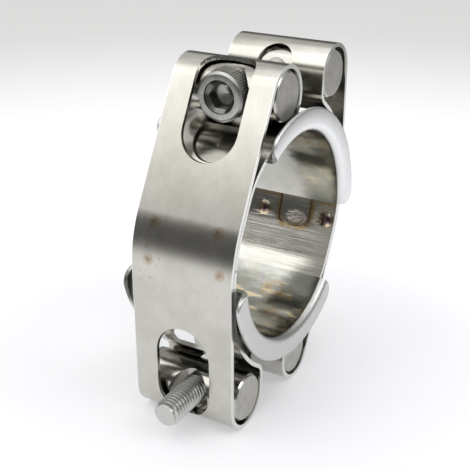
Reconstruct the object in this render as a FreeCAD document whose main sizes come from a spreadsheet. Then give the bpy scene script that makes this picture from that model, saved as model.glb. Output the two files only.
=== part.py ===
import FreeCAD, Part
import math
import os
import Sketcher
from FreeCAD import Placement, Rotation, Vector

# Double-bolt hose clamp: two half bands bent from strip, two bridges that close the bore
# across the gaps, and two socket-head bolts that draw on round pins in the band loops.
# X runs along the bolts, Y along the bore, Z up. The origin is the centre of the bore.

SIZES = {
    # bore and the bridges that line it
    "bore_radius": 23.0,
    "bridge_sheet": 1.0,
    "bridge_half_angle": 61.2,
    "upper_bridge_angle": 59.2,
    "lower_bridge_angle": 250.6,
    "flange_height": 5.2,
    "flange_gap": 1.2,
    "flange_roll": 1.9,
    "flange_corner": 3.4,
    # half band strip
    "band_width": 24.0,
    "band_sheet": 0.9,
    "layer_gap": 0.12,
    "leg_inset": 0.55,
    "middle_extra": 0.83,
    "bend_radius": 15.0,
    "lean_angle": 13.7,
    "loop_spacing": 23.56,
    "loop_room": 0.45,
    "loop_clearance": 1.18,
    "neck_radius": 3.7,
    "neck_angle": 2.0,
    # openings in the strip
    "outer_slot_room": 1.2,
    "outer_slot_length": 20.8,
    "gap_slot_room": 1.3,
    "gap_slot_rise": 2.0,
    "gap_slot_drop": 2.8,
    "seam_height": 1.7,
    "seam_shift": 1.35,
    "seam_gap": 0.4,
    "tongue_width": 7.7,
    "tongue_length": 6.8,
    "tongue_corner": 1.5,
    "weld_radius": 1.75,
    "weld_span": 16.7,
    "weld_drop": 2.7,
    "dimple_depth": 0.3,
    # pins
    "pin_radius": 5.4,
    "pin_inset": 0.2,
    "pin_chamfer": 0.5,
    "pin_play": 0.03,
    "pin_seat": 1.7,
    "head_seat_room": 0.45,
    "thread_seat_room": 1.9,
    "clear_hole_room": 0.3,
    "thread_play": 0.04,
    # bolts
    "bolt_radius": 3.0,
    "bolt_length": 39.0,
    "bolt_chamfer": 0.9,
    "head_radius": 5.3,
    "head_length": 6.0,
    "head_chamfer": 0.6,
    "socket_radius": 2.95,
    "socket_depth": 3.2,
    "socket_lead": 0.3,
}

SLACK = 0.001    # share of the bore radius that keeps touching bend circles apart

doc = FreeCAD.newDocument("hose_clamp")
sheet = doc.addObject("Spreadsheet::Sheet", "Sizes")
for row, (alias, value) in enumerate(SIZES.items(), start=1):
    sheet.set(f"A{row}", alias)
    sheet.set(f"B{row}", str(value))
    sheet.setAlias(f"B{row}", alias)
doc.recompute()


def size(alias):
    return float(sheet.get(alias))


# Flat geometry of a bent strip

def polar(radius, degrees):
    a = math.radians(degrees)
    return radius * math.cos(a), radius * math.sin(a)


def belt(wheels, shift):
    """Closed wire that runs round wheels (x, z, radius, turn), moved to its left by shift."""
    count = len(wheels)
    headings = []
    for i in range(count):
        x0, z0, r0, t0 = wheels[i]
        x1, z1, r1, t1 = wheels[(i + 1) % count]
        span = math.hypot(x1 - x0, z1 - z0)
        lift = max(-1.0, min(1.0, (t1 * r1 - t0 * r0) / span))
        headings.append(math.atan2(z1 - z0, x1 - x0) - math.asin(lift))

    def rim(i, heading):
        x, z, r, t = wheels[i]
        reach = t * r - shift
        return Vector(x + reach * math.sin(heading), 0, z - reach * math.cos(heading))

    edges = []
    for i in range(count):
        came, goes, turn = headings[i - 1], headings[i], wheels[i][3]
        sweep = (turn * (goes - came)) % (2 * math.pi)
        start, end = rim(i, came), rim(i, came + turn * sweep)
        middle = rim(i, came + turn * sweep / 2)
        edges.append(Part.Arc(start, middle, end).toShape())
        edges.append(Part.makeLine(end, rim((i + 1) % count, goes)))
    return Part.Wire(edges)


# Band measures shared by its parts. The band frame has its origin midway between the two
# loops, X outward from the bore and Z along the line through the loops.

def loop_radius():
    return size("pin_radius") + size("loop_room") + size("band_sheet")


def hug_radius():
    return size("bore_radius") + size("bridge_sheet")


def loop_half_span():
    """Half the distance between a band's loops, which clear the bridge by loop_clearance."""
    reach = hug_radius() + size("loop_clearance") + loop_radius()
    back, tilt = size("loop_spacing") / 2, math.radians(size("lean_angle"))
    part = back * math.sin(tilt)
    return part + math.sqrt(part ** 2 + reach ** 2 - back ** 2)


def band_frame():
    sheet_t, gap, slack = size("band_sheet"), size("layer_gap"), SLACK * size("bore_radius")
    half, tilt = loop_half_span(), math.radians(size("lean_angle"))
    hug, loop, neck, bend = hug_radius(), loop_radius(), size("neck_radius"), size("bend_radius")
    back = size("loop_spacing") / 2
    bore = (-back * math.cos(tilt), -back * math.sin(tilt))
    loop_at = (0.0, -half)
    leg = hug - size("leg_inset")
    wall = 2 * sheet_t + gap
    reach = math.hypot(loop_at[0] - bore[0], loop_at[1] - bore[1])
    toward = math.atan2(loop_at[1] - bore[1], loop_at[0] - bore[0])
    normal = toward + math.acos((leg + wall - loop) / reach)
    out = (math.cos(normal), math.sin(normal))
    leg_line = out[0] * bore[0] + out[1] * bore[1] + leg + wall
    middle_radius = leg + wall + size("middle_extra")
    middle = ((leg_line - middle_radius) / out[0], 0.0)

    def from_bore(distance, direction):
        return (bore[0] + distance * math.cos(direction), bore[1] + distance * math.sin(direction))

    swing = normal - math.acos((leg - bend) / (hug - bend))
    bend_at = from_bore(hug - bend + slack / 2, swing)
    neck_at = from_bore(hug + neck + slack, toward - math.radians(size("neck_angle")))
    return dict(sheet=sheet_t, gap=gap, wall=wall, half=half, loop=loop, neck=neck, hug=hug,
                bend=bend, bore=bore, loop_at=loop_at, bend_at=bend_at, neck_at=neck_at,
                middle=middle, outer=middle_radius, inner=middle_radius - wall)


def band_wheels(m):
    """Bend circles of the strip's middle line, in order round the closed band."""
    h = m["sheet"] / 2
    low = [(*m["bend_at"], m["bend"] + h, -1), (*m["bore"], m["hug"] + h, -1),
           (*m["neck_at"], m["neck"] - h, 1), (*m["loop_at"], m["loop"] - h, 1)]
    high = [(x, -z, r, t) for x, z, r, t in reversed(low)]
    outer = (*m["middle"], m["outer"] - h, 1)
    inner = (*m["middle"], m["inner"] + h, -1)
    return [outer] + high + [inner] + low


def flat_slot(start, end, width, depth_from, depth_to):
    """Round-ended slot in the band's face, from depth_from to depth_to along X."""
    r = width / 2
    low, high = start + r, max(end - r, start + r + 0.1)
    left = [Vector(depth_from, -r, low), Vector(depth_from, -r, high)]
    right = [Vector(depth_from, r, high), Vector(depth_from, r, low)]
    wire = Part.Wire([
        Part.makeLine(*left),
        Part.Arc(left[1], Vector(depth_from, 0, high + r), right[0]).toShape(),
        Part.makeLine(*right),
        Part.Arc(right[1], Vector(depth_from, 0, low - r), left[0]).toShape(),
    ])
    return Part.Face(wire).extrude(Vector(depth_to - depth_from, 0, 0))


def both_ends(shape):
    return [shape, shape.mirror(Vector(0, 0, 0), Vector(0, 0, 1))]


def slot_cutters(m):
    """Wide slots for the bolt ends outside, narrower slots for the shanks on the gap side."""
    crest = m["half"] + size("pin_radius") + size("loop_room")
    bolt_r = size("bolt_radius")
    outer = flat_slot(crest - size("outer_slot_length"), crest,
                      2 * (size("head_radius") + size("outer_slot_room")), 0.0, m["outer"])
    gap = flat_slot(m["half"] - bolt_r - size("gap_slot_drop"),
                    m["half"] + bolt_r + size("gap_slot_rise"),
                    2 * (bolt_r + size("gap_slot_room")), -1.5 * m["loop"], 0.0)
    return both_ends(outer) + both_ends(gap)


def tongue_prism(m, grow):
    """Tongue with rounded lower corners, as a prism through the bore side, grown by grow."""
    high, half = size("seam_height"), size("tongue_width") / 2 + grow
    low = high - size("tongue_length") - grow
    rise = high + size("seam_gap") - low
    box = Part.makeBox(m["outer"], 2 * half, rise, Vector(m["middle"][0], -half, low))
    lower = [e for e in box.Edges if abs(e.CenterOfMass.z - low) < SLACK
             and abs(e.CenterOfMass.y) > half - SLACK]
    return box.makeFillet(size("tongue_corner") + grow, lower)


def seam_cutter(m):
    """Tongue-and-notch joint where the strip's two ends meet on the bore side."""
    gap, high, x = size("seam_gap"), size("seam_height"), m["middle"][0]
    edge = size("band_width")
    line = Part.makeBox(m["outer"], 2 * edge, gap, Vector(x, -edge, high))
    cut = line.fuse(tongue_prism(m, gap)).cut(tongue_prism(m, 0.0))
    cut.translate(Vector(0, -size("seam_shift"), 0))
    core = Part.makeCylinder(m["inner"] + m["sheet"] + m["gap"] / 2, 3 * edge,
                             Vector(x, -1.5 * edge, 0), Vector(0, 1, 0))
    return cut.common(core)


def spot_welds(m):
    """Nuggets that join the two layers, and the dimples they leave on the bore side."""
    r, deep, drop = size("weld_radius"), size("dimple_depth"), size("weld_drop")
    ball = (r ** 2 + deep ** 2) / (2 * deep)
    turn = math.asin(drop / m["inner"])
    out = Vector(math.cos(turn), 0, -math.sin(turn))
    nuggets, dimples = [], []
    for side in (-1, 1):
        axis = Vector(m["middle"][0], side * size("weld_span") / 2 - size("seam_shift"), 0)
        nuggets.append(Part.makeCylinder(r, m["sheet"] + m["gap"],
                                         axis + out * (m["inner"] + m["sheet"] / 2), out))
        dimples.append(Part.makeSphere(ball, axis + out * (m["inner"] + deep - ball)))
    return nuggets, dimples


def half_band_shape():
    m = band_frame()
    wheels, h, width = band_wheels(m), m["sheet"] / 2, size("band_width")
    along = Vector(0, width, 0)
    solid = Part.Face(belt(wheels, -h)).extrude(along)
    hollow = Part.Face(belt(wheels, h)).extrude(along)
    band = solid.cut(hollow)
    band.translate(Vector(0, -width / 2, 0))
    nuggets, dimples = spot_welds(m)
    band = band.fuse(nuggets).cut(dimples + slot_cutters(m) + [seam_cutter(m)])
    return band.removeSplitter()


def band_place(side):
    """Right half with side 1, left half with side -1, turned half a turn about the bore."""
    lean = Placement(Vector(size("loop_spacing") / 2, 0, 0),
                     Rotation(Vector(0, 1, 0), size("lean_angle")))
    turn = Placement(Vector(0, 0, 0), Rotation(Vector(0, 1, 0), 0 if side > 0 else 180))
    return turn.multiply(lean)


# Bridge: curved sheet with a rolled flange on each edge

def flange_face():
    return size("band_width") / 2 + size("flange_gap") + size("bridge_sheet")


def flange_radius():
    return size("bore_radius") + size("flange_height")


def bridge_section():
    """Section of the sheet in radius and height: lined bore, bend in three flats, flange."""
    t, roll, face = size("bridge_sheet"), size("flange_roll"), flange_face()
    inner, rim = size("bore_radius"), flange_radius()
    bend = [Vector(inner + roll * (1 - math.cos(a)), face - roll * (1 - math.sin(a)), 0)
            for a in (0.0, math.pi / 6, math.pi / 3, math.pi / 2)]
    top = bend + [Vector(rim, face, 0), Vector(rim, face - t, 0),
                  Vector(inner + roll, face - t, 0), Vector(inner + t, face - roll, 0)]
    back = [Vector(p.x, -p.y, 0) for p in reversed(top)]
    corners = top + back
    return Part.Face(Part.makePolygon(corners + corners[:1]))


def sector(half_angle):
    """Ring sector about the bore with its outer corners rounded off, as a tall prism."""
    over, corner = size("bridge_sheet"), size("flange_corner")
    inner, rim = size("bore_radius") - over, flange_radius() + over
    face = flange_face() + over
    tall = 2 * face
    side = [Vector(*polar(r, a), 0) for r in (inner, rim) for a in (-half_angle, half_angle)]
    near = [Vector(inner, 0, 0), Vector(rim, 0, 0)]
    wire = Part.Wire([
        Part.Arc(side[0], near[0], side[1]).toShape(), Part.makeLine(side[1], side[3]),
        Part.Arc(side[3], near[1], side[2]).toShape(), Part.makeLine(side[2], side[0]),
    ])
    prism = Part.Face(wire).extrude(Vector(0, 0, tall))
    outer = [e for e in prism.Edges if abs(e.Length - tall) < 1e-6
             and math.hypot(e.CenterOfMass.x, e.CenterOfMass.y) > rim - 0.01]
    prism = prism.makeFillet(corner, outer)
    prism.translate(Vector(0, 0, -face))
    return prism


def bridge_shape(middle_angle):
    half = size("bridge_half_angle")
    ring = bridge_section().revolve(Vector(0, 0, 0), Vector(0, 1, 0), 2 * half)
    ring.rotate(Vector(0, 0, 0), Vector(0, 1, 0), -half)
    prism = sector(half)
    prism.rotate(Vector(0, 0, 0), Vector(1, 0, 0), 90)
    shape = ring.common(prism).removeSplitter()
    shape.rotate(Vector(0, 0, 0), Vector(0, 1, 0), -middle_angle)
    return shape


def shaped(name, shape, placement=None):
    item = doc.addObject("Part::Feature", name)
    item.Shape = shape
    if placement is not None:
        item.Placement = placement
    return item


# Turned pieces, drawn as half sections and revolved about X

def origin_item(body, role):
    return next(item for item in body.Origin.OriginFeatures if item.Role == role)


def sketch_on(body, role, name):
    sketch = body.newObject("Sketcher::SketchObject", name)
    sketch.AttachmentSupport = [(origin_item(body, role), "")]
    sketch.MapMode = "FlatFace"
    return sketch


def bind(sketch, kind, places, alias, expression):
    number = sketch.addConstraint(Sketcher.Constraint(kind, *places, sketch.evalExpression(expression)))
    sketch.renameConstraint(number, alias)
    sketch.setExpression(f"Constraints.{alias}", expression)


def turned(name, profile):
    """Body revolved about X from (along, radius) pairs of expressions, None meaning zero."""
    body = doc.addObject("PartDesign::Body", name)
    sketch = sketch_on(body, "XY_Plane", f"{name}_section")
    value = lambda text: 0.0 if text is None else float(body.evalExpression(text))
    points = [Vector(value(a), value(r), 0) for a, r in profile]
    count = len(points)
    for i in range(count):
        sketch.addGeometry(Part.LineSegment(points[i], points[(i + 1) % count]), False)
    for i in range(count):
        sketch.addConstraint(Sketcher.Constraint("Coincident", i, 2, (i + 1) % count, 1))
    for i, (along, radius) in enumerate(profile):
        for text, kind, axis in ((along, "DistanceX", -2), (radius, "DistanceY", -1)):
            if text is None:
                sketch.addConstraint(Sketcher.Constraint("PointOnObject", i, 1, axis))
            else:
                bind(sketch, kind, (-1, 1, i, 1), f"{kind}{i}", text)
    solid = body.newObject("PartDesign::Revolution", f"{name}_turned")
    solid.Profile = sketch
    solid.ReferenceAxis = (sketch, ["H_Axis"])
    solid.Angle = 360
    sketch.Visibility = False
    return body


def add_pocket(body, sketch, name, length=None, reverse=False, both=False):
    pocket = body.newObject("PartDesign::Pocket", name)
    pocket.Profile = sketch
    if length is None:
        pocket.Type = "ThroughAll"
    else:
        pocket.Type = "Length"
        pocket.setExpression("Length", length)
    pocket.Reversed = reverse
    pocket.Midplane = both
    sketch.Visibility = False
    return pocket


def bolt(name):
    """Socket-head bolt along X, its seat under the head at the body's origin, shank toward +X."""
    s = "Sizes."
    mouth = f"{s}socket_radius + {s}socket_lead"
    body = turned(name, [
        (None, None),
        (None, f"{s}head_radius - {s}head_chamfer"),
        (s + "head_chamfer", s + "head_radius"),
        (f"{s}head_length - {s}head_chamfer / 3", s + "head_radius"),
        (s + "head_length", f"{s}head_radius - {s}head_chamfer / 3"),
        (s + "head_length", s + "bolt_radius"),
        (f"{s}head_length + {s}bolt_length - {s}bolt_chamfer", s + "bolt_radius"),
        (f"{s}head_length + {s}bolt_length", f"{s}bolt_radius - {s}bolt_chamfer"),
        (f"{s}head_length + {s}bolt_length", None),
    ])
    lead = sketch_on(body, "XY_Plane", f"{name}_lead")
    throat, deep = size("socket_radius"), size("socket_lead")
    corners = [Vector(0, 0, 0), Vector(0, throat + deep, 0), Vector(deep, throat, 0), Vector(deep, 0, 0)]
    for i in range(4):
        lead.addGeometry(Part.LineSegment(corners[i], corners[(i + 1) % 4]), False)
    for i in range(4):
        lead.addConstraint(Sketcher.Constraint("Coincident", i, 2, (i + 1) % 4, 1))
    lead.addConstraint(Sketcher.Constraint("Coincident", 0, 1, -1, 1))
    lead.addConstraint(Sketcher.Constraint("PointOnObject", 1, 1, -2))
    lead.addConstraint(Sketcher.Constraint("PointOnObject", 3, 1, -1))
    bind(lead, "DistanceY", (-1, 1, 1, 1), "Mouth", mouth)
    bind(lead, "DistanceX", (-1, 1, 2, 1), "Lead", s + "socket_lead")
    bind(lead, "DistanceY", (-1, 1, 2, 1), "Throat", s + "socket_radius")
    lead.addConstraint(Sketcher.Constraint("Vertical", 2))
    groove = body.newObject("PartDesign::Groove", f"{name}_mouth")
    groove.Profile = lead
    groove.ReferenceAxis = (lead, ["H_Axis"])
    groove.Angle = 360
    lead.Visibility = False
    hexagon = sketch_on(body, "YZ_Plane", f"{name}_socket")
    r = size("socket_radius")
    ring = [Vector(*polar(r, 30 + 60 * i), 0) for i in range(6)]
    for i in range(6):
        hexagon.addGeometry(Part.LineSegment(ring[i], ring[(i + 1) % 6]), False)
    hexagon.addGeometry(Part.Circle(Vector(0, 0, 0), Vector(0, 0, 1), r), True)
    for i in range(6):
        hexagon.addConstraint(Sketcher.Constraint("Coincident", i, 2, (i + 1) % 6, 1))
        hexagon.addConstraint(Sketcher.Constraint("PointOnObject", i, 1, 6))
    for i in range(1, 6):
        hexagon.addConstraint(Sketcher.Constraint("Equal", 0, i))
    hexagon.addConstraint(Sketcher.Constraint("Coincident", 6, 3, -1, 1))
    hexagon.addConstraint(Sketcher.Constraint("PointOnObject", 1, 1, -2))
    bind(hexagon, "Radius", (6,), "Across", s + "socket_radius")
    add_pocket(body, hexagon, f"{name}_hex", s + "socket_depth", reverse=True)
    return body


def centred_circle(body, name, radius, middle, lift=None):
    """Circle on the body's X axis, at the given distance along it, as high as lift."""
    sketch = sketch_on(body, "XY_Plane", name)
    if lift:
        sketch.setExpression(".AttachmentOffset.Base.z", lift)
    start = Vector(float(body.evalExpression(middle)), 0, 0)
    sketch.addGeometry(Part.Circle(start, Vector(0, 0, 1), float(body.evalExpression(radius))), False)
    sketch.addConstraint(Sketcher.Constraint("PointOnObject", 0, 3, -1))
    bind(sketch, "Radius", (0,), "Round", radius)
    bind(sketch, "DistanceX", (-1, 1, 0, 3), "Middle", middle)
    return sketch


def pin(name, hole, seat):
    """Round pin along the body's X, crossed by the bolt hole along Z, with a spot face on -Z."""
    s = "Sizes."
    length = f"({s}band_width - 2 * {s}pin_inset)"
    body = turned(name, [
        (None, None),
        (None, f"{s}pin_radius - {s}pin_chamfer"),
        (s + "pin_chamfer", s + "pin_radius"),
        (f"{length} - {s}pin_chamfer", s + "pin_radius"),
        (length, f"{s}pin_radius - {s}pin_chamfer"),
        (length, None),
    ])
    across = centred_circle(body, f"{name}_hole", hole, length + " / 2")
    add_pocket(body, across, f"{name}_bored", both=True)
    face = centred_circle(body, f"{name}_seat", seat, length + " / 2", "-" + s + "pin_seat")
    add_pocket(body, face, f"{name}_spotface")
    return body


# Where the loops, pins and bolts sit in the clamp

def loop_centre(side, high):
    local = Vector(0, 0, (1 if high else -1) * side * loop_half_span())
    return band_place(side).multVec(local)


def pin_centre(side, high):
    play = size("loop_room") - size("pin_play")
    return loop_centre(side, high) - Vector(side * play, 0, 0)


def pin_place(side, high, seat_side):
    """Turns the pin's X to the bore axis and its spot face toward seat_side along world X."""
    at = pin_centre(side, high)
    z_axis = Vector(-seat_side, 0, 0)
    x_axis = Vector(0, 1, 0)
    turn = Rotation(x_axis, z_axis.cross(x_axis), z_axis, "ZXY")
    start = at - Vector(0, size("band_width") / 2 - size("pin_inset"), 0)
    return Placement(start, turn)


def bolt_place(side, high):
    """Head outside the loop on the given side, shank through the other side's loop."""
    at = pin_centre(side, high)
    seat = at.x + side * size("pin_seat")
    turn = Rotation(Vector(0, 1, 0), 180 if side > 0 else 0)
    return Placement(Vector(seat + side * size("head_length"), 0, at.z), turn)


def build():
    band = half_band_shape()
    nodes = [
        shaped("left_band", band, band_place(-1)),
        shaped("right_band", band.copy(), band_place(1)),
        shaped("upper_bridge", bridge_shape(size("upper_bridge_angle"))),
        shaped("lower_bridge", bridge_shape(size("lower_bridge_angle"))),
    ]
    head = ("Sizes.bolt_radius + Sizes.clear_hole_room", "Sizes.head_radius + Sizes.head_seat_room")
    thread = ("Sizes.bolt_radius + Sizes.thread_play", "Sizes.bolt_radius + Sizes.thread_seat_room")
    for name, side, high, fit in (("upper_head_pin", -1, True, head),
                                  ("upper_thread_pin", 1, True, thread),
                                  ("lower_head_pin", 1, False, head),
                                  ("lower_thread_pin", -1, False, thread)):
        body = pin(name, *fit)
        body.Placement = pin_place(side, high, side)
        nodes.append(body)
    for name, side, high in (("upper_bolt", -1, True), ("lower_bolt", 1, False)):
        body = bolt(name)
        body.Placement = bolt_place(side, high)
        nodes.append(body)
    doc.recompute()
    return nodes


def check_and_export(nodes):
    bad = [item.Name for item in doc.Objects
           if any(word in item.State for word in ("Invalid", "Error"))]
    bad += [node.Name for node in nodes
            if node.Shape.isNull() or not node.Shape.isValid() or node.Shape.Volume <= 0]
    if bad:
        raise RuntimeError("not sound: " + ", ".join(bad))
    os.makedirs("parts", exist_ok=True)
    for node in nodes:
        node.Label = node.Name
        node.Shape.exportStep(f"parts/{node.Name}.step")
        box = node.Shape.BoundBox
        print(f"{node.Name}: solids {len(node.Shape.Solids)} x {box.XMin:.2f}..{box.XMax:.2f} "
              f"y {box.YMin:.2f}..{box.YMax:.2f} z {box.ZMin:.2f}..{box.ZMax:.2f}")


check_and_export(build())
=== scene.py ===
"""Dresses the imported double-bolt hose clamp for Blender 4.5.

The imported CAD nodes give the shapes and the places. This add-on turns the two bolts, the two
bridges and the two half bands into finely modelled pieces, gives every surface a procedural
stainless steel and sets up the camera, the table and the lights. Lengths are in metres.
"""

import math

import bmesh
import bpy
from bpy.props import FloatProperty, IntProperty, PointerProperty
from bpy.types import Operator, Panel, PropertyGroup
from mathutils import Matrix, Vector


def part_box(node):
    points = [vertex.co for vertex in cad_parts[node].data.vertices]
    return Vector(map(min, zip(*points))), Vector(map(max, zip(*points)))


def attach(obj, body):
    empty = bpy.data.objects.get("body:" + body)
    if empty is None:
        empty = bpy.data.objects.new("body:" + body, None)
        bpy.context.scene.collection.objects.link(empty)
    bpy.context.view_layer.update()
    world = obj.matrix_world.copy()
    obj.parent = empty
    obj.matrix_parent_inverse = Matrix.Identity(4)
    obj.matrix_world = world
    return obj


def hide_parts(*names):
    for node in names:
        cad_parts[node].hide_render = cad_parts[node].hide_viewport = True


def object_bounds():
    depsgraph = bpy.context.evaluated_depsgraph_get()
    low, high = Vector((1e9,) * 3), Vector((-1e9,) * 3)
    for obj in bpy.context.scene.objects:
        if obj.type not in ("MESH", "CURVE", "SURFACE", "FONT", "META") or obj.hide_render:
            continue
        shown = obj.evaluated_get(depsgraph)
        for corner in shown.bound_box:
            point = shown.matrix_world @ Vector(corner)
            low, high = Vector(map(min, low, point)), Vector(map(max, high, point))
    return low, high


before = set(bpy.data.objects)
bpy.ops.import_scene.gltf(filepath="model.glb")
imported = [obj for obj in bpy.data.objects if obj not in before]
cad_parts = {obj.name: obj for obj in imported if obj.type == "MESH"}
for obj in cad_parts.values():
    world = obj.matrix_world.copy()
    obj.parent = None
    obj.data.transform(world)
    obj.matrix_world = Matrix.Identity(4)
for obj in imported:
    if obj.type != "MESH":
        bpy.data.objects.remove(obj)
CAD_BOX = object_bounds()
MM = 0.001
BOLT_HEIGHT = 31.67 * MM  # from the bore's axis to a bolt's axis

bl_info = {
    "name": "Hose clamp dresser",
    "version": (1, 0, 0),
    "blender": (4, 5, 0),
    "location": "View3D > Sidebar > Clamp",
    "description": "Fine bolts, bridges, bands, steels and studio for the packed hose clamp",
    "category": "Object",
}


# ---- Settings ------------------------------------------------------------------------------

class BoltSettings(PropertyGroup):
    """Sizes of the socket-head bolts."""
    radius: FloatProperty(name="Thread radius", description="Radius over the thread crests",
                          default=3.0 * MM, subtype="DISTANCE")
    length: FloatProperty(name="Length", description="From under the head to the end",
                          default=39.0 * MM, subtype="DISTANCE")
    pitch: FloatProperty(name="Pitch", description="Rise of the thread in one turn",
                         default=1.0 * MM, subtype="DISTANCE")
    threaded: FloatProperty(name="Threaded length", description="Thread measured from the end",
                            default=26.0 * MM, subtype="DISTANCE")
    chamfer: FloatProperty(name="End chamfer", description="How far the thread end tapers in",
                           default=0.7 * MM, subtype="DISTANCE")
    head_radius: FloatProperty(name="Head radius", description="Radius over the knurls",
                               default=5.3 * MM, subtype="DISTANCE")
    head_length: FloatProperty(name="Head length", description="Height of the head",
                               default=6.0 * MM, subtype="DISTANCE")
    socket: FloatProperty(name="Socket flat", description="Half the width across the flats",
                          default=2.52 * MM, subtype="DISTANCE")
    socket_depth: FloatProperty(name="Socket depth", description="Depth of the hexagon",
                                default=3.2 * MM, subtype="DISTANCE")
    knurls: IntProperty(name="Knurls", description="Grooves round the head", default=60)


class BandSettings(PropertyGroup):
    """The slot over the loop at a band's head end, and the band's sheared edges."""
    spacing: FloatProperty(name="Loop spacing", description="Distance between the two bands",
                           default=23.56 * MM, subtype="DISTANCE")
    span: FloatProperty(name="Half span", description="Mid height to a loop's centre",
                        default=32.6 * MM, subtype="DISTANCE")
    lean: FloatProperty(name="Lean", description="Turn of a band about the bore's direction",
                        default=math.radians(13.7), subtype="ANGLE")
    loop: FloatProperty(name="Loop radius", description="Outer radius of a loop",
                        default=6.75 * MM, subtype="DISTANCE")
    slot: FloatProperty(name="Slot half width", description="Half width of the outer slots",
                        default=6.5 * MM, subtype="DISTANCE")
    past: FloatProperty(name="Slot end", description="End of the slot from the loop's centre",
                        default=0.4 * MM, subtype="DISTANCE")
    edge: FloatProperty(name="Edge", description="Rounding of the sheared edges",
                        default=0.09 * MM, subtype="DISTANCE")


class BridgeSettings(PropertyGroup):
    """Sizes of the curved bridges that line the bore."""
    bore: FloatProperty(name="Bore radius", description="Radius of the lining face",
                        default=23.0 * MM, subtype="DISTANCE")
    sheet: FloatProperty(name="Sheet", description="Thickness of the sheet",
                         default=1.0 * MM, subtype="DISTANCE")
    rim: FloatProperty(name="Rim radius", description="Radius over the flanges",
                       default=28.2 * MM, subtype="DISTANCE")
    face: FloatProperty(name="Flange face", description="Mid width to a flange's outer face",
                        default=14.2 * MM, subtype="DISTANCE")
    roll: FloatProperty(name="Bend radius", description="Outer radius of the flange bend",
                        default=1.9 * MM, subtype="DISTANCE")
    corner: FloatProperty(name="Corner", description="Rounding of the flange ends",
                          default=3.2 * MM, subtype="DISTANCE")
    half_angle: FloatProperty(name="Half angle", description="Half the angle a bridge covers",
                              default=math.radians(61.2), subtype="ANGLE")
    tongue: FloatProperty(name="Tongue", description="Length of the tongue behind a bolt head",
                          default=3.9 * MM, subtype="DISTANCE")
    tongue_half: FloatProperty(name="Tongue half width", description="Half the tongue's width",
                               default=6.4 * MM, subtype="DISTANCE")
    upper_middle: FloatProperty(name="Upper middle", description="Angle of the upper bridge",
                                default=math.radians(59.2), subtype="ANGLE")
    lower_middle: FloatProperty(name="Lower middle", description="Angle of the lower bridge",
                                default=math.radians(250.6), subtype="ANGLE")


class StageSettings(PropertyGroup):
    """Camera, table and lights."""
    focal: FloatProperty(name="Focal length", description="Lens for a 36 mm sensor, in mm",
                         default=72.06)
    table: FloatProperty(name="Table size", description="Half the width of the table",
                         default=0.9, subtype="DISTANCE")


class ClampSettings(PropertyGroup):
    bolt: PointerProperty(type=BoltSettings)
    band: PointerProperty(type=BandSettings)
    bridge: PointerProperty(type=BridgeSettings)
    stage: PointerProperty(type=StageSettings)


# ---- Shader sums ---------------------------------------------------------------------------

class Term:
    """A socket of a node tree that can be added, multiplied and compared like a number."""

    def __init__(self, tree, socket):
        self.tree, self.socket = tree, socket

    def node(self, kind, inputs, **settings):
        made = self.tree.nodes.new(kind)
        for key, value in settings.items():
            setattr(made, key, value)
        for key, value in inputs.items():
            if isinstance(value, Term):
                self.tree.links.new(value.socket, made.inputs[key])
            else:
                made.inputs[key].default_value = value
        return made

    def sum(self, kind, *values):
        made = self.node("ShaderNodeMath", dict(enumerate(values)), operation=kind)
        return Term(self.tree, made.outputs[0])

    def __add__(self, other):
        return self.sum("ADD", self, other)

    def __sub__(self, other):
        return self.sum("SUBTRACT", self, other)

    def __mul__(self, other):
        return self.sum("MULTIPLY", self, other)

    def __truediv__(self, other):
        return self.sum("DIVIDE", self, other)

    def __rsub__(self, other):
        return self.sum("SUBTRACT", other, self)

    def __abs__(self):
        return self.sum("ABSOLUTE", self)

    __radd__, __rmul__ = __add__, __mul__

    def rise(self, low, high):
        """0 below low, 1 above high, smooth between; high may be the smaller."""
        made = self.node("ShaderNodeMapRange", {0: self, 1: low, 2: high},
                         interpolation_type="SMOOTHSTEP")
        return Term(self.tree, made.outputs[0])

    def most(self, other):
        return self.sum("MAXIMUM", self, other)

    def least(self, other):
        return self.sum("MINIMUM", self, other)

    def stretched(self, x, y, z):
        made = self.node("ShaderNodeVectorMath", {0: self, 1: (x, y, z)}, operation="MULTIPLY")
        return Term(self.tree, made.outputs[0])

    def noise(self, scale, detail=3.0, roughness=0.5):
        made = self.node("ShaderNodeTexNoise", {"Vector": self, "Scale": scale,
                                                "Detail": detail, "Roughness": roughness})
        return Term(self.tree, made.outputs["Fac"])

    def warped(self, scale, reach):
        """This vector pushed about by up to half of reach."""
        push = self.node("ShaderNodeTexNoise", {"Vector": self, "Scale": scale, "Detail": 2.0})
        middle = self.node("ShaderNodeVectorMath", {0: Term(self.tree, push.outputs["Color"]),
                                                    1: (0.5, 0.5, 0.5)}, operation="SUBTRACT")
        step = Term(self.tree, middle.outputs[0]).stretched(reach, reach, reach)
        made = self.node("ShaderNodeVectorMath", {0: self, 1: step}, operation="ADD")
        return Term(self.tree, made.outputs[0])

    def parts(self):
        made = self.node("ShaderNodeSeparateXYZ", {0: self})
        return [Term(self.tree, out) for out in made.outputs]

    def away(self, point):
        """Distance from a point, in the units of this vector."""
        made = self.node("ShaderNodeVectorMath", {0: self, 1: point}, operation="DISTANCE")
        return Term(self.tree, made.outputs["Value"])

    def between(self, first, second):
        """First colour where this is 0, second where it is 1."""
        made = self.tree.nodes.new("ShaderNodeMix")
        made.data_type = "RGBA"
        self.tree.links.new(self.socket, made.inputs["Factor"])
        for key, value in ((6, first), (7, second)):
            if isinstance(value, Term):
                self.tree.links.new(value.socket, made.inputs[key])
            else:
                made.inputs[key].default_value = (*value, 1.0)
        return Term(self.tree, made.outputs[2])


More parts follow.
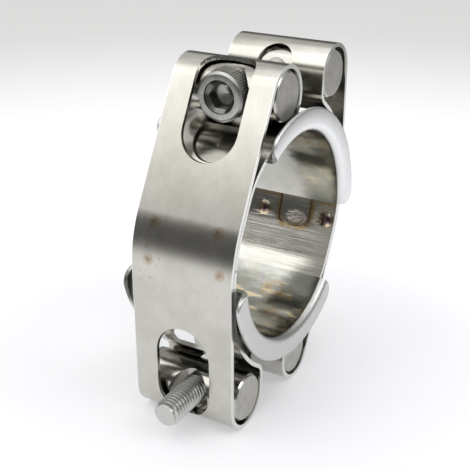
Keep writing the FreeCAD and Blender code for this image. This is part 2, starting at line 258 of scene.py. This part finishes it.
class Steel:
    """A material with one Principled shader on object coordinates."""

    def __init__(self, name):
        self.material = bpy.data.materials.new(name)
        self.material.use_nodes = True
        self.tree = self.material.node_tree
        self.shader = self.tree.nodes["Principled BSDF"]
        self.shader.inputs["Metallic"].default_value = 1.0
        place = self.tree.nodes.new("ShaderNodeTexCoord")
        self.at = Term(self.tree, place.outputs["Object"])
        self.x, self.y, self.z = self.at.parts()

    def from_bolts(self):
        """Distance from the nearer bolt's axis."""
        rise = abs(self.z) - BOLT_HEIGHT
        square = self.y * self.y + rise * rise
        return square.sum("SQRT", square)

    def finish(self, colour, roughness, relief, depth):
        """Link the sums; depth is the height in metres that a relief of 1 stands for."""
        bump = self.at.node("ShaderNodeBump", {"Height": relief, "Distance": depth,
                                               "Strength": 1.0})
        links = self.tree.links
        links.new(colour.socket, self.shader.inputs["Base Color"])
        links.new(roughness.socket, self.shader.inputs["Roughness"])
        links.new(bump.outputs["Normal"], self.shader.inputs["Normal"])
        return self.material


# Heat stains: place in mm, radius in mm, strength; a negative radius is a ring
STAINS = {
    "left_band": [((-26.59, 7.95, -0.1), 1.9, 0.8), ((-24.5, 7.4, 7.8), 2.2, 0.7),
                  ((-24.35, -7.5, 8.2), 2.2, 0.75), ((-26.56, -9.05, 0.2), -1.0, 0.8),
                  ((-26.56, -9.05, 0.2), 1.7, 0.75),
                  ((-26.73, 10.2, -3.0), 0.42, 0.7), ((-26.7, 9.8, -5.2), 0.36, 0.7),
                  ((-26.72, 7.5, -4.1), 0.4, 0.8), ((-26.69, 5.7, -1.2), 0.4, 0.6),
                  ((-26.53, 5.25, 0.5), 0.5, 0.6), ((-26.19, 8.6, 2.6), 0.8, 0.45),
                  ((-26.71, -8.7, -4.7), 0.35, 0.6)],
    "right_band": [((22.9, 7.0, -5.6), 2.8, 1.15), ((23.1, -9.7, -5.6), 2.8, 1.15)],
    "upper_bridge": [((16.9, -3.9, 15.6), -1.9, 0.4), ((17.9, -6.0, 14.4), -1.5, 0.35),
                     ((12.0, -8.0, 19.6), 1.8, 0.3)],
    "lower_bridge": [((10.6, -0.9, -20.4), 2.6, 0.75), ((10.2, -2.6, -20.6), -2.2, 0.6),
                     ((3.5, -5.7, -22.7), 2.6, 0.6), ((13.2, 3.4, -18.8), 1.6, 0.4),
                     ((-1.5, -8.0, -22.9), 2.2, 0.5), ((7.0, -3.2, -21.9), 1.4, 0.5)],
}


def stained(steel, node, colour):
    """Colour with straw edges and brown middles at the node's stains, and how strong they are."""
    heat = None
    drift = steel.at.warped(900, 0.9 * MM)
    for place, radius, strength in STAINS[node]:
        far = drift.away([v * MM for v in place])
        if radius < 0:
            far = abs(far + radius * MM) * 1.5 + steel.at.noise(700, 2.0, 0.5) * 0.9 * MM
        near = far.rise(abs(radius) * 1.15 * MM, 0.0) * strength
        heat = near if heat is None else heat.most(near)
    heat = heat * (steel.at.noise(1500, 3.0, 0.6) * 1.2 + 0.35)
    colour = (heat.rise(0.05, 0.7) * 0.65).between(colour, (0.38, 0.27, 0.13))
    return heat.rise(0.55, 0.95).between(colour, (0.15, 0.09, 0.12)), heat


def seam_heat(steel, side):
    """1 along the edges of the tongue and under the bridge's end, 0 a millimetre away."""
    corner, shift = 1.6 * MM, 1.35 * MM
    across = (abs(steel.y + shift) - 3.85 * MM + corner).most(0.0)
    drop = (abs(steel.z + side * 4.6 * MM) - 3.3 * MM + corner).most(0.0)
    square = across * across + drop * drop
    edge = abs(square.sum("SQRT", square) - corner - 0.4 * MM).rise(1.3 * MM, 0.3 * MM)
    brow = abs(steel.z + side * 1.3 * MM).rise(1.7 * MM, 0.3 * MM)
    brow = brow * abs(steel.y + shift).rise(3.6 * MM, 4.1 * MM)
    return edge.most(brow) * (steel.at.noise(900, 2.0, 0.5).rise(0.3, 0.6) * 0.75 + 0.25)


def band_steel(name, node):
    """Satin strip: grain, soft clouds, heat stains, and the seam with its weld lump inside."""
    steel = Steel(name)
    side = -1.0 if node == "left_band" else 1.0
    grain = steel.at.stretched(0.05, 1.0, 0.05).noise(8000, 2.0, 0.6)
    fine = steel.at.stretched(0.3, 1.0, 0.3).noise(24000, 2.0, 0.7)
    clouds = steel.at.noise(130, 4.0, 0.6)
    specks = steel.at.noise(2600, 3.0, 0.6).rise(0.66, 0.74)
    radius = steel.at.stretched(1.0, 0.0, 1.0).away((0.0, 0.0, 0.0))
    inner = radius.rise(24.6 * MM, 24.4 * MM)
    drawn = steel.at.stretched(1.0, 0.03, 1.0).noise(2600, 3.0, 0.65) * inner
    edge = abs(steel.y).rise(11.78 * MM, 11.97 * MM)
    plain = clouds.rise(0.3, 0.72).between((0.50, 0.49, 0.445), (0.58, 0.57, 0.53))
    colour = edge.between(plain, (0.74, 0.74, 0.71))
    colour = (drawn.rise(0.62, 0.36) * inner * 0.45).between(colour, (0.30, 0.30, 0.28))
    colour = (seam_heat(steel, side) * inner * 0.9).between(colour, (0.50, 0.34, 0.13))
    colour, heat = stained(steel, node, colour)
    lump = steel.at.stretched(1.0, 0.7, 1.0).away((side * 22.9 * MM, -1.1 * MM, side * -6.4 * MM))
    lump = lump.rise(2.3 * MM, 1.0 * MM) * steel.at.noise(1300, 3.0, 0.6)
    colour = (lump * 0.8).between(colour, (0.62, 0.54, 0.47))
    roughness = 0.13 + grain * 0.09 + clouds * 0.07 + specks * 0.08 - edge * 0.05 - inner * 0.07
    relief = grain * 0.6 + fine * 0.25 - specks * 0.4 + drawn * 4.5 + heat * 0.8 + lump * 40.0
    return steel.finish(colour, roughness, relief, 0.005 * MM)


# Dark and light colours of each bridge's lining and of its flanges
BRIDGE_LIT_AND_SHADED_TONES = {
    "upper_bridge": (((0.43, 0.43, 0.39), (0.53, 0.52, 0.48)),
                     ((0.76, 0.77, 0.77), (0.90, 0.90, 0.90))),
    # The lower bridge's tones are darker copies of the upper's: painted shade for the lower
    # bridge.
    "lower_bridge": (((0.31, 0.32, 0.30), (0.42, 0.42, 0.39)),
                     ((0.56, 0.56, 0.55), (0.70, 0.70, 0.69))),
}


def bridge_steel(name, node):
    """Bright lining face with rolling lines, whitish tumbled flanges, far tips in painted shade.
    """
    steel = Steel(name)
    flange = abs(steel.y).rise(12.2 * MM, 13.3 * MM)
    grain = steel.at.stretched(0.05, 1.0, 0.05).noise(6000, 2.0, 0.5)
    clouds = steel.at.noise(150, 4.0, 0.6)
    ripple = steel.at.stretched(1.0, 0.35, 1.0).noise(330, 2.0, 0.5)
    tumble = steel.at.noise(1900, 4.0, 0.7)
    lining_tones, flange_tones = BRIDGE_LIT_AND_SHADED_TONES[node]
    colour = clouds.rise(0.3, 0.7).between(*lining_tones)
    # Painted reflections low on the lining: dark streaks and bright streaks in a heat-tint gold.
    foot = steel.z.rise(-17.5 * MM, -20.5 * MM)
    line = steel.at.stretched(1.0, 0.24, 1.0).noise(430, 2.0, 0.5)
    colour = (foot * line.rise(0.52, 0.40) * 0.55).between(colour, (0.24, 0.24, 0.19))
    colour = (foot * line.rise(0.55, 0.62) * 0.85).between(colour, (0.82, 0.70, 0.46))
    colour, heat = stained(steel, node, colour)
    colour = flange.between(colour, tumble.rise(0.25, 0.75).between(*flange_tones))
    # Painted shade: the far (+Y) flanges' tips at -X are painted near black.
    tip = steel.x.rise(-25.0 * MM, -26.2 * MM) * steel.y.rise(12.0 * MM, 13.0 * MM)
    colour = (tip * 0.85).between(colour, (0.10, 0.09, 0.08))
    roughness = 0.10 + grain * 0.05 + clouds * 0.05 + flange * (0.20 + tumble * 0.14)
    bright = 1.0 - flange
    relief = (grain * 0.25 + ripple * 11.0 + heat * 2.0) * bright + tumble * flange * 0.9
    return steel.finish(colour, roughness, relief, 0.006 * MM)


def pin_steel(name):
    """Turned bar: fine rings, dull sawn ends, short scratches, painted shade in the bolt's
    recess.
    """
    steel = Steel(name)
    end = abs(steel.y).rise(11.6 * MM, 11.75 * MM)
    rings = steel.at.stretched(0.03, 1.0, 0.03).noise(12000, 2.0, 0.6)
    sawn = steel.at.stretched(1.0, 1.0, 0.12).noise(3800, 3.0, 0.65)
    clouds = steel.at.noise(420, 4.0, 0.65)
    dull = clouds.rise(0.3, 0.7).between((0.44, 0.43, 0.40), (0.56, 0.55, 0.52))
    colour = end.between((0.46, 0.45, 0.42), dull)
    # Painted shade: the floor of the recess round the bolt is painted near black.
    seat = steel.from_bolts().rise(4.86 * MM, 4.74 * MM)
    seat = seat * abs(steel.x).rise(21.5 * MM, 22.0 * MM)
    colour = (seat * 0.8).between(colour, (0.07, 0.07, 0.06))
    roughness = 0.13 + rings * 0.08 + end * (0.30 + clouds * 0.12) + seat * 0.2
    relief = rings * (1.0 - end) * 0.12 + end * (sawn * 0.8 + clouds * 0.5)
    return steel.finish(colour, roughness, relief, 0.014 * MM)


def bolt_steel(name):
    """Plain fastener steel with fine handling marks, painted shade inside the head's socket."""
    steel = Steel(name)
    clouds = steel.at.noise(380, 4.0, 0.65)
    marks = steel.at.stretched(1.0, 0.3, 0.3).noise(5200, 3.0, 0.65)
    colour = clouds.rise(0.3, 0.7).between((0.36, 0.36, 0.34), (0.52, 0.52, 0.50))
    # Painted highlight: the threaded ends are painted lighter, standing in for the sheen of their
    # crests.
    colour = abs(steel.x).rise(16.0 * MM, 24.0 * MM).between(colour, (0.56, 0.56, 0.54))
    along = abs(steel.x)
    # Painted shade: the inside of the head's socket is painted near black.
    inside = steel.from_bolts().rise(3.64 * MM, 3.5 * MM)
    inside = inside * along.rise(8.0 * MM, 8.1 * MM) * along.rise(11.62 * MM, 11.5 * MM)
    colour = (inside * 0.75).between(colour, (0.09, 0.09, 0.08))
    roughness = 0.22 + clouds * 0.14 + marks * 0.08
    return steel.finish(colour, roughness, marks * 0.6 + clouds * 0.4, 0.010 * MM)


# ---- Mesh helpers --------------------------------------------------------------------------

def grid_faces(mesh, rows):
    """Quads between rows of vertices, each row closed on itself."""
    for low, high in zip(rows, rows[1:]):
        count = len(low)
        for i in range(count):
            j = (i + 1) % count
            mesh.faces.new((low[i], low[j], high[j], high[i]))


def finish_mesh(name, mesh, material, body, node, angle=40.0):
    """Turn a bmesh into an object that rides on a body and stands for a CAD node."""
    bmesh.ops.recalc_face_normals(mesh, faces=mesh.faces)
    data = bpy.data.meshes.new(name)
    mesh.to_mesh(data)
    mesh.free()
    piece = bpy.data.objects.new(name, data)
    bpy.context.scene.collection.objects.link(piece)
    data.materials.append(material)
    bpy.ops.object.select_all(action="DESELECT")
    piece.select_set(True)
    bpy.context.view_layer.objects.active = piece
    bpy.ops.object.shade_smooth_by_angle(angle=math.radians(angle))
    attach(piece, body)
    if node:
        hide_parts(node)
    return piece


def even_shading(piece, angle):
    """Smooth below the angle, with the large faces deciding the normals."""
    bpy.ops.object.shade_smooth_by_angle(angle=math.radians(angle))
    even = piece.modifiers.new("Even", "WEIGHTED_NORMAL")
    even.mode, even.weight, even.keep_sharp = "FACE_AREA", 100, True
    bpy.ops.object.modifier_apply(modifier="Even")


def circle_rows(mesh, rings, columns):
    """Rows of vertices round X; each ring is (x, radius of the angle)."""
    rows = []
    for x, radius in rings:
        row = []
        for i in range(columns):
            turn = 2 * math.pi * i / columns
            r = radius(turn) if callable(radius) else radius
            row.append(mesh.verts.new((x, r * math.cos(turn), r * math.sin(turn))))
        rows.append(row)
    return rows


# ---- Bolts ---------------------------------------------------------------------------------

def hexagon(flat):
    """Radius of a hexagon at an angle, from half its width across the flats."""
    def radius(turn):
        return flat / math.cos((turn % (math.pi / 3)) - math.pi / 6)
    return radius


def head_mesh(mesh, s):
    """Knurled head with a chamfered hexagon socket, on the -X side of the origin."""
    columns = 6 * s.knurls
    r, top, chamfer = s.head_radius, -s.head_length, 0.55 * MM

    def knurled(depth):
        def radius(turn):
            wave = 0.5 + 0.5 * math.cos(s.knurls * turn)
            return r - depth * wave ** 1.5
        return radius

    groove = 0.22 * MM
    under = -0.012 * MM  # keeps the head clear of its seat when the pin turns
    rings = [(under, s.radius * 0.9), (under, r - 0.45 * MM), (-0.12 * MM, r - 0.3 * MM)]
    rings += [(-0.35 * MM, knurled(0.05 * MM)), (-0.6 * MM, knurled(groove))]
    rings += [(-x * MM, knurled(groove)) for x in (1.6, 2.6, 3.6, 4.6)]
    rings += [(top + chamfer + 0.25 * MM, knurled(groove * 0.8)),
              (top + chamfer, knurled(0.02 * MM)),
              (top + 0.22 * MM, r - 0.30 * MM), (top + 0.06 * MM, r - 0.48 * MM),
              (top, r - 0.75 * MM)]
    corner = s.socket / math.cos(math.pi / 6)
    mouth = corner + 0.62 * MM
    six = hexagon(s.socket)
    rings += [(top, mouth + 0.1 * MM), (top + 0.06 * MM, mouth + 0.02 * MM),
              (top + 0.4 * MM, mouth - 0.1 * MM), (top + 1.0 * MM, six),
              (top + 1.2 * MM, six),
              (top + s.socket_depth, six), (top + s.socket_depth, s.socket * 0.93),
              (top + s.socket_depth + 0.9 * MM, 0.4 * MM)]
    rows = circle_rows(mesh, rings, columns)
    grid_faces(mesh, rows)
    tip = mesh.verts.new((top + s.socket_depth + 1.0 * MM, 0, 0))
    for i in range(columns):
        mesh.faces.new((rows[-1][i], rows[-1][(i + 1) % columns], tip))
    mesh.faces.new(rows[0])


def shank_mesh(mesh, s):
    """Plain shank that runs into a rolled thread with a chamfered end."""
    columns, root = 36, s.radius - 0.6134 * s.pitch
    plain = s.radius - 0.06 * MM
    # Share of a pitch along the bolt, and the radius there
    profile = [(0.0, root), (0.10, root), (0.42, s.radius - 0.03 * MM), (0.5, s.radius),
               (0.58, s.radius - 0.03 * MM), (0.90, root)]
    start, end = s.length - s.threaded, s.length
    turns = int(s.threaded / s.pitch) + 2

    def limit(x):
        """Radius left by the chamfer at the free end."""
        return min(s.radius, s.radius - s.chamfer + (end - x) * 1.1)

    rows = []
    for turn in range(turns):
        for share, radius in profile:
            row = []
            for i in range(columns):
                angle = 2 * math.pi * i / columns
                x = start + s.pitch * (turn - 1 + share + i / columns)
                x = min(max(x, start), end)
                fade = min(1.0, max(0.0, (x - start) / (1.5 * s.pitch)))
                r = min(plain + fade * (radius - plain), limit(x))
                row.append(mesh.verts.new((x, r * math.cos(angle), r * math.sin(angle))))
            rows.append(row)
    for row, after in zip(rows, rows[1:]):
        for i in range(columns - 1):
            mesh.faces.new((row[i], row[i + 1], after[i + 1], after[i]))
    step = len(profile)
    for k in range(len(rows) - step - 1):
        mesh.faces.new((rows[k][-1], rows[k + step][0], rows[k + step + 1][0], rows[k + 1][-1]))
    neck = circle_rows(mesh, [(-0.01 * MM, plain), (start, plain)], columns)
    grid_faces(mesh, neck)
    cap = circle_rows(mesh, [(end, s.radius - s.chamfer), (end, 0.7 * s.radius - 0.6 * MM),
                             (end - 0.05 * MM, 0.3 * MM)], columns)
    grid_faces(mesh, cap)
    mesh.faces.new(cap[-1])


class CLAMP_OT_bolts(Operator):
    """Model the two socket-head bolts with real threads and knurled heads"""
    bl_idname = "clamp.bolts"
    bl_label = "Bolts"

    def execute(self, context):
        s = context.scene.clamp.bolt
        steel = bolt_steel("bolt_steel_fine")
        for node, turn in (("upper_bolt", 0.0), ("lower_bolt", math.pi)):
            low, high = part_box(node)
            under = low[0] + s.head_length if turn == 0.0 else high[0] - s.head_length
            centre = Vector((under, 0.0, (low[2] + high[2]) / 2))
            mesh = bmesh.new()
            head_mesh(mesh, s)
            shank_mesh(mesh, s)
            bmesh.ops.remove_doubles(mesh, verts=mesh.verts, dist=0.002 * MM)
            bmesh.ops.dissolve_degenerate(mesh, edges=mesh.edges, dist=0.002 * MM)
            place = Matrix.Translation(centre) @ Matrix.Rotation(turn, 4, "Y")
            bmesh.ops.transform(mesh, matrix=place, verts=mesh.verts)
            piece = finish_mesh(f"{node}_fine", mesh, steel, node, node, angle=32.0)
        return {"FINISHED"}


# ---- Bridges -------------------------------------------------------------------------------

def bridge_outline(s, rim):
    """Closed section of a bridge as (y, radius), with the flanges up to the given rim."""
    middle = s.face - s.roll
    bend = s.bore + s.roll
    tip = s.sheet / 2
    half = [(middle * k / 4, s.bore) for k in range(1, 4)]
    for k in range(7):
        a = math.radians(15 * k)
        half.append((middle + s.roll * math.sin(a), bend - s.roll * math.cos(a)))
    end = max(rim - 0.8 * tip, bend)
    for k in range(7):
        a = math.radians(30 * k)
        half.append((s.face - tip + tip * math.cos(a), end + 0.8 * tip * math.sin(a)))
    inner = s.roll - s.sheet
    for k in range(5):
        a = math.radians(90 - 22.5 * k)
        half.append((middle + inner * math.sin(a), bend - inner * math.cos(a)))
    half += [(middle * k / 4, s.bore + s.sheet) for k in range(3, 0, -1)]
    other = [(-y, r) for y, r in reversed(half)]
    return [(0.0, s.bore)] + half + [(0.0, s.bore + s.sheet)] + other


class CLAMP_OT_bridges(Operator):
    """Model the two curved bridges with rolled flanges and rounded flange ends"""
    bl_idname = "clamp.bridges"
    bl_label = "Bridges"

    def execute(self, context):
        s = context.scene.clamp.bridge
        arc = s.half_angle * s.rim
        near = [s.corner * (1 - math.cos(math.radians(a))) for a in range(0, 91, 10)]
        steps = near + [s.corner + (arc - s.corner) * k / 22 for k in range(1, 22)]
        along = [-arc + d for d in steps] + [0.0] + [arc - d for d in reversed(steps)]
        for node, body, middle in (("upper_bridge", "left_half", s.upper_middle),
                                   ("lower_bridge", "right_half", s.lower_middle)):
            steel = bridge_steel(f"{node}_steel", node)
            mesh = bmesh.new()
            rows = []
            for place in along:
                left = s.corner - min(s.corner, arc - abs(place))
                drop = s.corner - math.sqrt(max(s.corner ** 2 - left ** 2, 0.0))
                turn = middle + place / s.rim
                rows.append([mesh.verts.new((r * math.cos(turn), y, r * math.sin(turn)))
                             for y, r in bridge_outline(s, s.rim - drop)])
            grid_faces(mesh, rows)
            mesh.faces.new(rows[0])
            mesh.faces.new(rows[-1])
            if node == "upper_bridge":
                self.tongue(mesh, s, middle + s.half_angle)
            bmesh.ops.remove_doubles(mesh, verts=mesh.verts, dist=0.001 * MM)
            piece = finish_mesh(f"{node}_fine", mesh, steel, body, node, angle=42.0)
        return {"FINISHED"}

    def tongue(self, mesh, s, start):
        """Rounded tongue of the sheet that closes the end of the slot behind the bolt head."""
        rows, steps = [], 12
        rounded, bow = 0.8, 0.045
        skin = 0.01 * MM
        low, high = s.bore + skin, s.bore + s.sheet - skin
        for k in range(steps + 1):
            part = k / steps
            half = s.tongue_half * math.sqrt(1 - max(part - rounded, 0.0) ** 2 / bow)
            turn = start + s.tongue * part / s.bore
            rows.append([mesh.verts.new((r * math.cos(turn), y, r * math.sin(turn)))
                         for y, r in [(half * i / 4, low) for i in range(-4, 5)]
                         + [(half * i / 4, high) for i in range(4, -5, -1)]])
        grid_faces(mesh, rows)
        mesh.faces.new(rows[0])
        mesh.faces.new(rows[-1])


# ---- Bands and pins ------------------------------------------------------------------------

def crest_cutter(s, turn):
    """Prism that carries the head slot over the crest of its loop."""
    mesh = bmesh.new()
    reach, low, high = s.loop + 0.5 * MM, -s.span - s.loop - 1.0 * MM, -s.span
    bow = s.loop - s.past - 0.4 * MM
    outline = [(s.past + bow * (1 - math.cos(a)), s.slot * math.sin(a))
               for a in (math.radians(6 * k) for k in range(-15, 16))]
    outline += [(reach, s.slot), (reach, -s.slot)]
    rings = [[mesh.verts.new((x, y, z)) for x, y in outline] for z in (low, high)]
    grid_faces(mesh, rings)
    mesh.faces.new(rings[0])
    mesh.faces.new(rings[1])
    bmesh.ops.recalc_face_normals(mesh, faces=mesh.faces)
    place = (Matrix.Rotation(turn, 4, "Y") @ Matrix.Translation((s.spacing / 2, 0, 0))
             @ Matrix.Rotation(s.lean, 4, "Y"))
    bmesh.ops.transform(mesh, matrix=place, verts=mesh.verts)
    data = bpy.data.meshes.new("cutter")
    mesh.to_mesh(data)
    mesh.free()
    cutter = bpy.data.objects.new("cutter", data)
    bpy.context.scene.collection.objects.link(cutter)
    return cutter


class CLAMP_OT_bands(Operator):
    """Carry the head slots over the loops, round the sheared edges and give the steel"""
    bl_idname = "clamp.bands"
    bl_label = "Half bands"

    def execute(self, context):
        s = context.scene.clamp.band
        for node, body, turn in (("left_band", "left_half", math.pi),
                                 ("right_band", "right_half", 0.0)):
            mesh = bmesh.new()
            mesh.from_mesh(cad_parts[node].data)
            bmesh.ops.remove_doubles(mesh, verts=mesh.verts, dist=0.003 * MM)
            bmesh.ops.dissolve_limit(mesh, angle_limit=math.radians(0.3), verts=mesh.verts,
                                     edges=mesh.edges)
            piece = finish_mesh(f"{node}_fine", mesh, band_steel(f"{node}_steel", node),
                                body, node)
            cutter = crest_cutter(s, turn)
            cut = piece.modifiers.new("Head slot", "BOOLEAN")
            cut.operation, cut.solver, cut.object = "DIFFERENCE", "EXACT", cutter
            bpy.ops.object.modifier_apply(modifier="Head slot")
            bpy.data.objects.remove(cutter)
            edges = piece.modifiers.new("Edges", "BEVEL")
            edges.width, edges.segments, edges.limit_method = s.edge, 2, "ANGLE"
            edges.angle_limit, edges.use_clamp_overlap = math.radians(40.0), True
            bpy.ops.object.modifier_apply(modifier="Edges")
            even_shading(piece, 40.0)
        return {"FINISHED"}


class CLAMP_OT_pins(Operator):
    """Give the four pins their turned steel"""
    bl_idname = "clamp.pins"
    bl_label = "Pins"

    def execute(self, context):
        steel = pin_steel("pin_steel_fine")
        for node in ("upper_head_pin", "upper_thread_pin", "lower_head_pin", "lower_thread_pin"):
            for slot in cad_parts[node].material_slots:
                slot.material = steel
        return {"FINISHED"}


# ---- Stage ---------------------------------------------------------------------------------

def aim(obj, target):
    obj.rotation_euler = (Vector(target) - obj.location).to_track_quat("-Z", "Y").to_euler()


def softbox(name, place, target, width, height, watts):
    lamp = bpy.data.lights.new(name, "AREA")
    lamp.shape, lamp.size, lamp.size_y, lamp.energy = "RECTANGLE", width, height, watts
    obj = bpy.data.objects.new(name, lamp)
    bpy.context.scene.collection.objects.link(obj)
    obj.location = place
    aim(obj, target)
    return obj


class CLAMP_OT_stage(Operator):
    """Set the camera, the pale table, the room and the lights"""
    bl_idname = "clamp.stage"
    bl_label = "Stage"

    def execute(self, context):
        s = context.scene.clamp.stage
        scene = context.scene
        scene.view_settings.view_transform = "Standard"
        self.camera(scene, s)
        self.table(s, CAD_BOX[0][2])
        self.room(scene)
        softbox("key", (-0.44, 0.30, 0.62), (0, 0, 0), 0.6, 0.5, 0.6)
        softbox("front", (0.05, -0.52, 0.40), (0, 0, 0.01), 0.3, 0.3, 0.9)
        softbox("top", (0.0, 0.0, 0.80), (0, 0, 0), 0.8, 0.8, 1.6)
        return {"FINISHED"}

    def camera(self, scene, s):
        azimuth, height, roll = map(math.radians, (-60.603, 23.745, 0.439))
        back = Vector((math.sin(azimuth) * math.cos(height),
                       -math.cos(azimuth) * math.cos(height), math.sin(height)))
        right = Vector((math.cos(azimuth), math.sin(azimuth), 0.0))
        up = back.cross(right)
        across = right * math.cos(roll) + up * math.sin(roll)
        rise = up * math.cos(roll) - right * math.sin(roll)
        place = (across * -2.058 + rise * -2.715 + back * 212.051) * MM
        lens = bpy.data.cameras.new("camera")
        lens.lens, lens.sensor_width, lens.clip_start = s.focal, 36.0, 0.01
        obj = bpy.data.objects.new("camera", lens)
        scene.collection.objects.link(obj)
        turn = Matrix((across, rise, back)).transposed()
        obj.matrix_world = Matrix.Translation(place) @ turn.to_4x4()
        scene.camera = obj

    def table(self, s, height):
        mesh = bmesh.new()
        bmesh.ops.create_grid(mesh, x_segments=24, y_segments=24, size=s.table)
        bmesh.ops.translate(mesh, verts=mesh.verts, vec=(0, 0, height))
        data = bpy.data.meshes.new("table")
        mesh.to_mesh(data)
        mesh.free()
        obj = bpy.data.objects.new("table", data)
        bpy.context.scene.collection.objects.link(obj)
        material = bpy.data.materials.new("table_white")
        material.use_nodes = True
        tree = material.node_tree
        shader = tree.nodes["Principled BSDF"]
        shader.inputs["Base Color"].default_value = (0.80, 0.81, 0.83, 1.0)
        shader.inputs["Roughness"].default_value = 0.6
        path = tree.nodes.new("ShaderNodeLightPath")
        mirrored = Term(tree, path.outputs["Is Glossy Ray"])
        seen = Term(tree, path.outputs["Is Camera Ray"]).most(mirrored)
        seen = seen.most(Term(tree, path.outputs["Is Transmission Ray"]))
        place = tree.nodes.new("ShaderNodeTexCoord")
        across, depth, _ = Term(tree, place.outputs["Object"]).parts()
        square = across * across + depth * depth
        away = square.sum("SQRT", square)
        # Painted shade on the floor: the glow greys far from the clamp, and less glow greys it
        # round the clamp.
        far, near = away.rise(0.13, 0.42), away.rise(0.10, 0.05)
        pale = far.between((1.0, 1.0, 1.03), (0.46, 0.46, 0.44))
        # Painted dark reflection: glossy rays see the far floor darker still.
        pale = (mirrored * far * 0.76).between(pale, (0.0, 0.0, 0.0))
        glow = seen.node("ShaderNodeEmission", {"Color": pale, "Strength": 1.7})
        blend = tree.nodes.new("ShaderNodeMixShader")
        share = seen * (0.34 - near * 0.13) + mirrored * far * 0.5
        tree.links.new(share.socket, blend.inputs[0])
        tree.links.new(shader.outputs[0], blend.inputs[1])
        tree.links.new(glow.outputs[0], blend.inputs[2])
        tree.links.new(blend.outputs[0], tree.nodes["Material Output"].inputs["Surface"])
        data.materials.append(material)

    def room(self, scene):
        world = bpy.data.worlds.new("room")
        scene.world = world
        world.use_nodes = True
        tree = world.node_tree
        place = tree.nodes.new("ShaderNodeTexCoord")
        across, depth, rise = Term(tree, place.outputs["Generated"]).parts()
        tilt = (depth - 0.47).most(-0.12).least(0.12)
        lit = (rise + tilt * 0.6).rise(0.35, 0.55)
        left = (across * -0.87 + depth * 0.49).rise(-0.1, 0.8)
        level = (lit * (left * 0.76 + 0.56)) + 0.12
        path = tree.nodes.new("ShaderNodeLightPath")
        seen = Term(tree, path.outputs["Is Camera Ray"])
        level = seen * 0.64 + level * (1.0 - seen)
        background = tree.nodes["Background"]
        tree.links.new(level.socket, background.inputs["Strength"])
        background.inputs["Color"].default_value = (1.0, 0.99, 0.97, 1.0)


class CLAMP_PT_panel(Panel):
    bl_idname = "CLAMP_PT_panel"
    bl_label = "Hose clamp"
    bl_space_type = "VIEW_3D"
    bl_region_type = "UI"
    bl_category = "Clamp"

    def draw(self, context):
        clamp = context.scene.clamp
        for settings in (clamp.bolt, clamp.band, clamp.bridge, clamp.stage):
            box = self.layout.box()
            for key in settings.__annotations__:
                box.prop(settings, key)
        for operator in OPERATORS:
            self.layout.operator(operator.bl_idname)


OPERATORS = (CLAMP_OT_bolts, CLAMP_OT_bridges, CLAMP_OT_bands, CLAMP_OT_pins, CLAMP_OT_stage)
CLASSES = (BoltSettings, BandSettings, BridgeSettings, StageSettings, ClampSettings, *OPERATORS,
           CLAMP_PT_panel)


def register():
    for cls in CLASSES:
        bpy.utils.register_class(cls)
    bpy.types.Scene.clamp = PointerProperty(type=ClampSettings)


def unregister():
    del bpy.types.Scene.clamp
    for cls in reversed(CLASSES):
        bpy.utils.unregister_class(cls)


def main():
    register()
    bpy.ops.clamp.bolts()
    bpy.ops.clamp.bridges()
    bpy.ops.clamp.bands()
    bpy.ops.clamp.pins()
    bpy.ops.clamp.stage()


if __name__ == "__main__":
    main()
